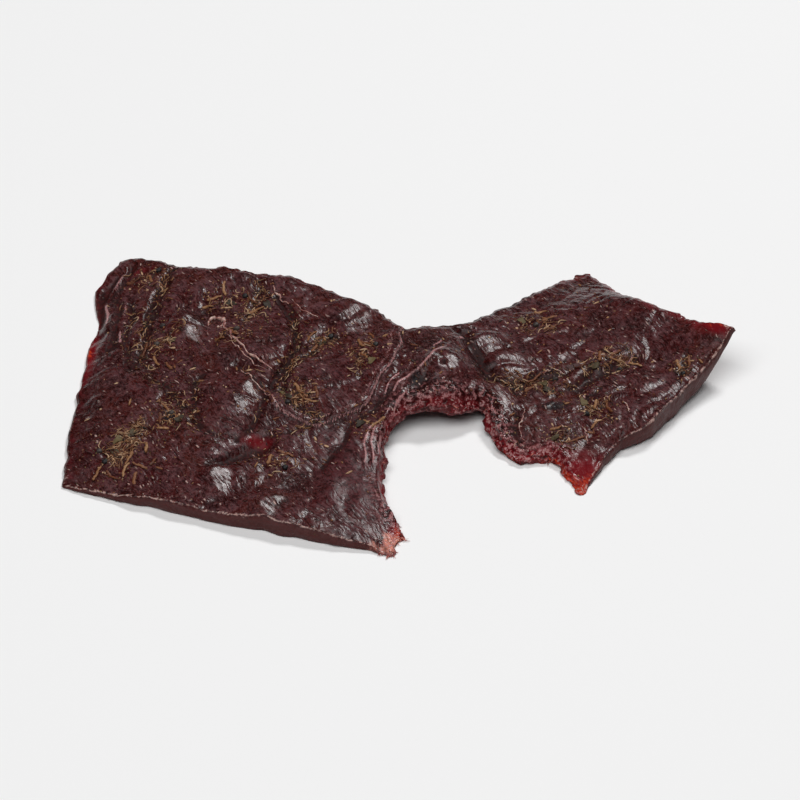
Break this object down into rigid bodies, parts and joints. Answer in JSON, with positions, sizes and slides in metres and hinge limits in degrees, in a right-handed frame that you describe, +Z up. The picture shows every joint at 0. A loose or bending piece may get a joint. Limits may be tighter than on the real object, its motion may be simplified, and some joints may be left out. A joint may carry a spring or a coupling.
{
  "type": "slice of dry-cured elk meat",
  "caption": "Thin slice of dry-cured game meat with two wings joined by a narrow neck, bowed as it dried, with dried herbs and cracked pepper stuck on top.",
  "frame": {"origin": "under the middle of the slice's box, on the surface that it lies on", "axes": "+X along the length, from the wide wing to the small wing; +Y from the cut front edge to the back edge; +Z up through the thin side"},
  "size_m": [0.1196, 0.0836, 0.0106],
  "materials": {
    "dried_meat": "satin, dark purple brown, redder and clearer where it is thin"
  },
  "bodies": {
    "root": {"elk_meat_slice": "dried_meat"}
  },
  "joints": []
}
